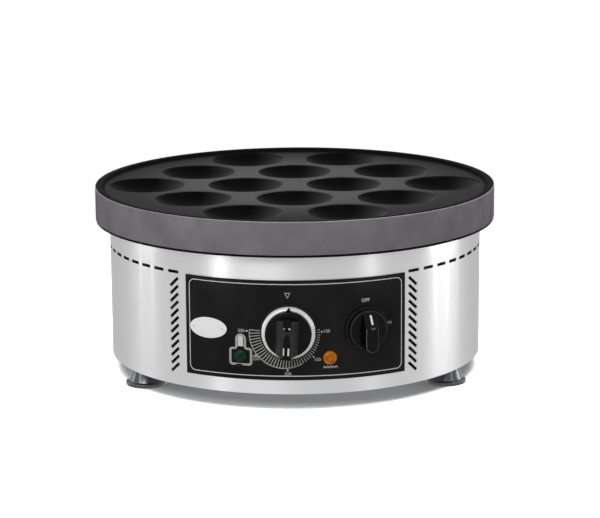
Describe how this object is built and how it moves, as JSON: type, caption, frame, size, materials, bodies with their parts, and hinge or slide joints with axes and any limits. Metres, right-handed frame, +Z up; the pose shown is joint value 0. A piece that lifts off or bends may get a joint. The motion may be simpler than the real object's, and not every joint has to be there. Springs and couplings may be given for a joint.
{
  "type": "pancake maker",
  "caption": "Round counter-top electric pancake maker: dimpled cast plate on a drum-shaped steel body with a curved panel, two turning knobs, signal lamps and rubber feet.",
  "frame": {"origin": "on the table, under the axis of the round body", "axes": "+Z up along the body's axis; the front with the control panel faces -Y; +X is to the right as seen from the front"},
  "size_m": [0.4, 0.4136, 0.1854],
  "materials": {
    "cast_plate": "machined side, black non-stick coating on the top and rim",
    "brushed_steel": "brushed round the body",
    "zinc_steel": "zinc plated, dull",
    "element_steel": "oxidised heater sheath",
    "fibre_board": "pressed mineral fibre",
    "foot_rubber": "matte moulded",
    "panel_black": "satin film with white print",
    "badge_white": "blank oval",
    "knob_black": "moulded, half gloss",
    "bright_ring": "satin bright",
    "capillary_brass": "drawn",
    "nylon_black": "moulded",
    "lens_green": "clear dark green",
    "lens_amber": "clear amber",
    "lamp_white": "moulded",
    "terminal_cream": "moulded",
    "lead_brown": "sleeved wire",
    "lead_blue": "sleeved wire"
  },
  "bodies": {
    "maker": {"cooking_plate": "cast_plate", "plate_stud_1": "zinc_steel", "plate_stud_2": "zinc_steel", "plate_stud_3": "zinc_steel", "plate_nut_1": "zinc_steel", "plate_nut_2": "zinc_steel", "plate_nut_3": "zinc_steel", "heating_element": "element_steel", "element_clamp": "zinc_steel", "clamp_stud": "zinc_steel", "clamp_nut": "zinc_steel", "reflector_pan": "zinc_steel", "insulation_disc": "fibre_board", "sensing_bulb": "zinc_steel", "bulb_clip": "zinc_steel", "capillary_tube": "capillary_brass", "body_shell": "brushed_steel", "base_plate": "zinc_steel", "base_screw_1": "zinc_steel", "base_screw_2": "zinc_steel", "base_screw_3": "zinc_steel", "foot_front_left": "foot_rubber", "foot_front_right": "foot_rubber", "foot_rear": "foot_rubber", "foot_screw_front_left": "zinc_steel", "foot_screw_front_right": "zinc_steel", "foot_screw_rear": "zinc_steel", "foot_nut_front_left": "zinc_steel", "foot_nut_front_right": "zinc_steel", "foot_nut_rear": "zinc_steel", "control_panel": "panel_black", "badge": "badge_white", "thermostat_body": "zinc_steel", "thermostat_screw_left": "zinc_steel", "thermostat_screw_right": "zinc_steel", "switch_body": "nylon_black", "switch_screw_lower": "zinc_steel", "switch_screw_upper": "zinc_steel", "green_lens": "lens_green", "green_lamp_body": "lamp_white", "green_lamp_nut": "nylon_black", "amber_lens": "lens_amber", "amber_lamp_body": "lamp_white", "amber_lamp_nut": "nylon_black", "terminal_block": "terminal_cream", "terminal_screw_1": "zinc_steel", "terminal_screw_2": "zinc_steel", "gland_body": "nylon_black", "gland_seal": "foot_rubber", "gland_nut": "nylon_black", "gland_locknut": "nylon_black", "lead_thermostat_to_element": "lead_brown", "lead_element_to_terminal": "lead_blue", "lead_terminal_to_switch": "lead_brown", "lead_switch_to_thermostat": "lead_brown"},
    "thermostat_dial": {"thermostat_shaft": "zinc_steel", "thermostat_knob": "knob_black", "thermostat_knob_ring": "bright_ring"},
    "switch_dial": {"switch_shaft": "zinc_steel", "switch_knob": "knob_black"}
  },
  "joints": [
    {"name": "thermostat_turn", "type": "hinge", "parent": "maker", "child": "thermostat_dial", "pos_m": [-0.0067, -0.18718, 0.077], "axis": [0.0358, 0.9994, 0], "range_deg": [0, 270]},
    {"name": "switch_turn", "type": "hinge", "parent": "maker", "child": "switch_dial", "pos_m": [0.0668, -0.17498, 0.077], "axis": [-0.3566, 0.9342, 0], "range_deg": [0, 90]}
  ]
}
